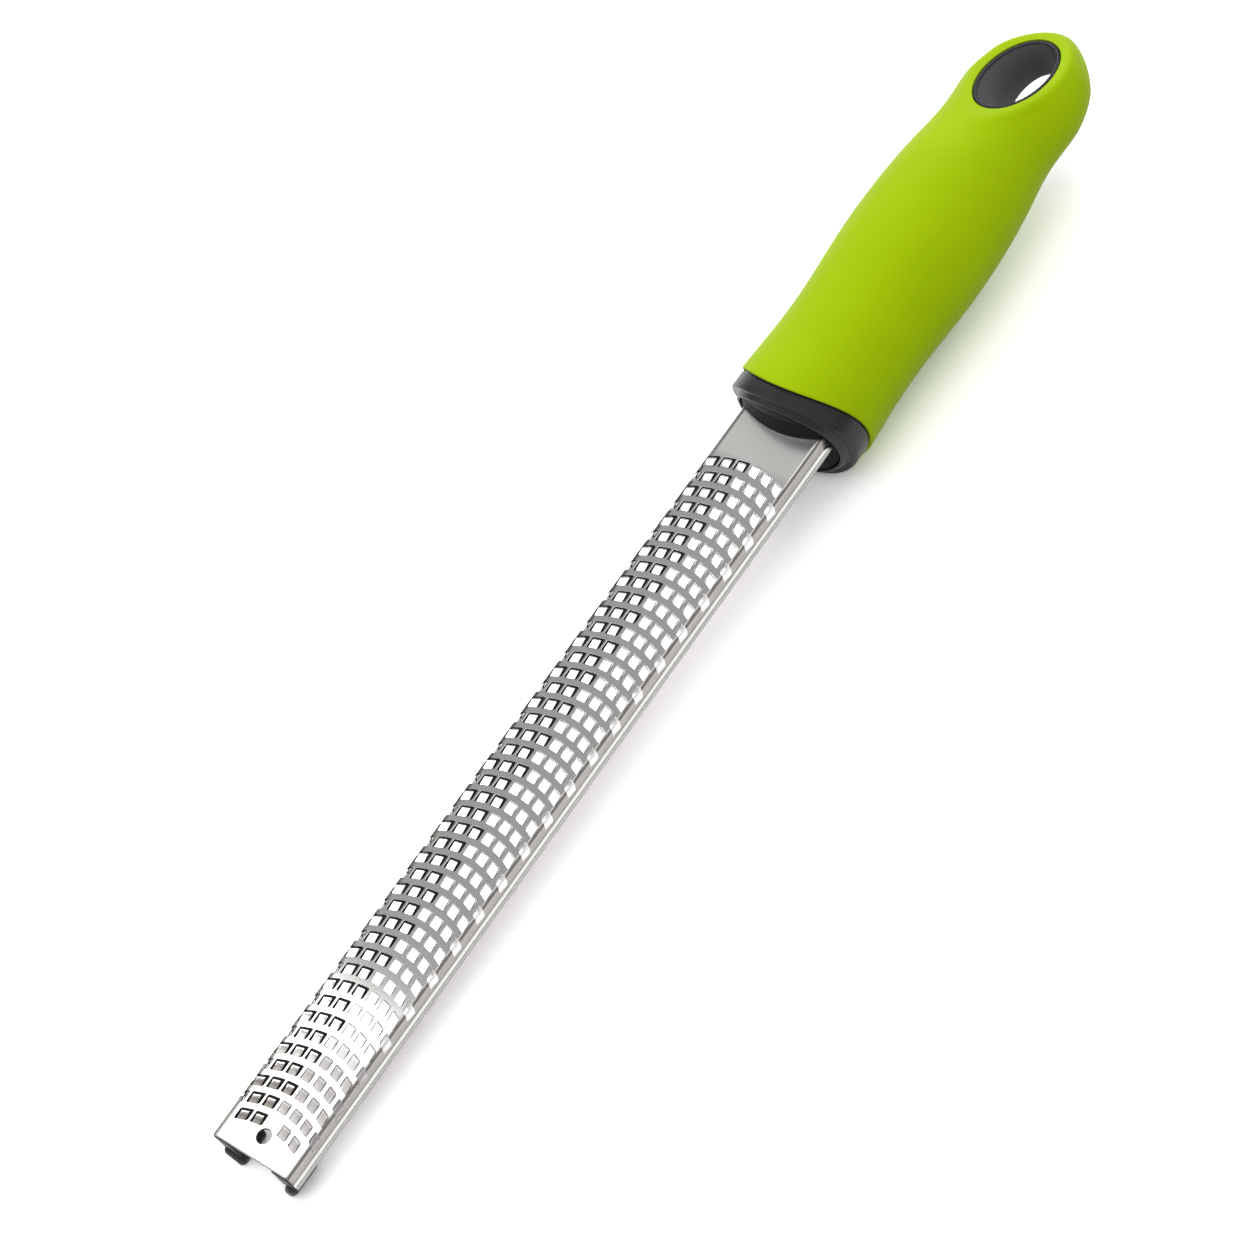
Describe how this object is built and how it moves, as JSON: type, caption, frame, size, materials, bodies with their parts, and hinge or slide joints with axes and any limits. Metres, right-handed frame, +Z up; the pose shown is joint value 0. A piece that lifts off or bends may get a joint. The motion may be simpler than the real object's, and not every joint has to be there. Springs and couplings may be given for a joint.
{
  "type": "rasp zester",
  "caption": "Hand-held rasp zester: a toothed steel channel blade with rubber feet at its tip and a green sleeved handle with a hanging eye.",
  "frame": {"origin": "middle of the bounding box on the ground, under the tool as it stands on its feet and the front of its handle", "axes": "+Y from the blade's tip towards the handle's end, +Z up out of the toothed face, +X to the right seen from the tip"},
  "size_m": [0.0366, 0.322, 0.0335],
  "materials": {
    "steel": "satin stainless steel, bright cut edges",
    "foot_rubber": "matt black rubber",
    "charcoal": "fine matt charcoal plastic",
    "core_plastic": "plain black plastic, not seen",
    "green_sleeve": "soft-touch bright lime green"
  },
  "bodies": {
    "root": {"blade": "steel", "rail_left": "steel", "rail_right": "steel", "foot_left": "foot_rubber", "foot_right": "foot_rubber", "blade_plug": "charcoal", "collar": "charcoal", "tang_pins": "steel", "handle_core": "core_plastic", "grip": "green_sleeve", "eye_liner": "charcoal"}
  },
  "joints": []
}
